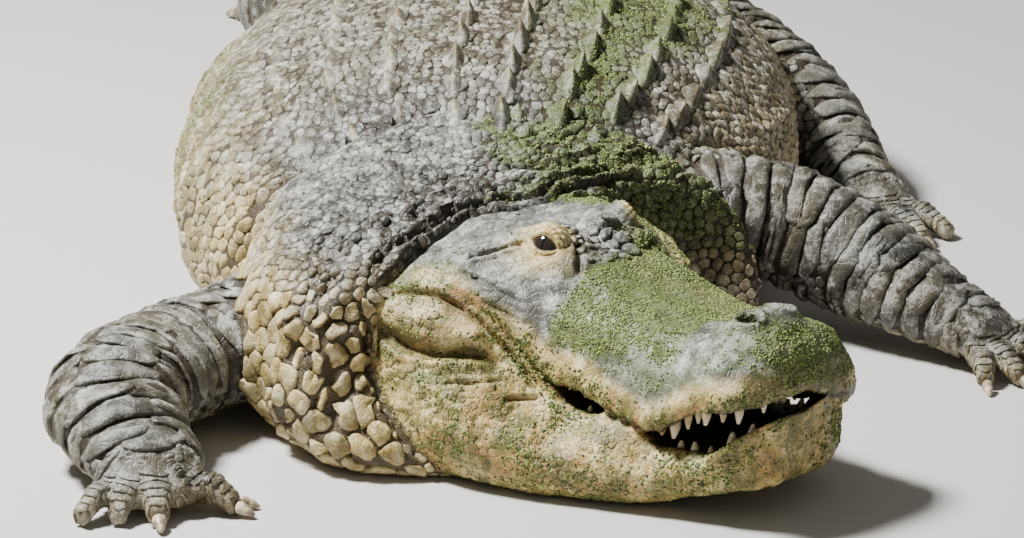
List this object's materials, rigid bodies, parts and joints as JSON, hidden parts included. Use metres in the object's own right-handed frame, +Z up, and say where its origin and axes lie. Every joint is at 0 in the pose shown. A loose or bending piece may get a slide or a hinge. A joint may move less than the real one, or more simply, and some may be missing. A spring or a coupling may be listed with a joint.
{
  "type": "alligator",
  "caption": "Life-size American alligator lying on its belly with its head turned to its left and its jaws slightly open, long tail behind.",
  "frame": {"origin": "centre of the flat belly, on the ground", "axes": "+Z up; the trunk faces -Y with the tail towards +Y; +X is the animal's own left"},
  "size_m": [1.2783, 3.58, 0.3918],
  "materials": {
    "hide": "matte",
    "claw_horn": "satin",
    "tooth_ivory": "gloss",
    "eye": "gloss"
  },
  "bodies": {
    "root": {"cheek_teeth_left": "tooth_ivory", "cheek_teeth_right": "tooth_ivory", "eye_left": "eye", "eye_right": "eye", "foot_left": "hide", "foot_left_claw_1": "claw_horn", "foot_left_claw_2": "claw_horn", "foot_left_claw_3": "claw_horn", "foot_right": "hide", "foot_right_claw_1": "claw_horn", "foot_right_claw_2": "claw_horn", "foot_right_claw_3": "claw_horn", "forearm_left": "hide", "forearm_right": "hide", "hand_left": "hide", "hand_left_claw_1": "claw_horn", "hand_left_claw_2": "claw_horn", "hand_left_claw_3": "claw_horn", "hand_right": "hide", "hand_right_claw_1": "claw_horn", "hand_right_claw_2": "claw_horn", "hand_right_claw_3": "claw_horn", "head": "hide", "lower_jaw": "hide", "lower_teeth": "tooth_ivory", "neck": "hide", "shank_left": "hide", "shank_right": "hide", "tail_base": "hide", "tail_middle": "hide", "tail_tip": "hide", "thigh_left": "hide", "thigh_right": "hide", "trunk": "hide", "upper_arm_left": "hide", "upper_arm_right": "hide", "upper_teeth": "tooth_ivory"}
  },
  "joints": []
}
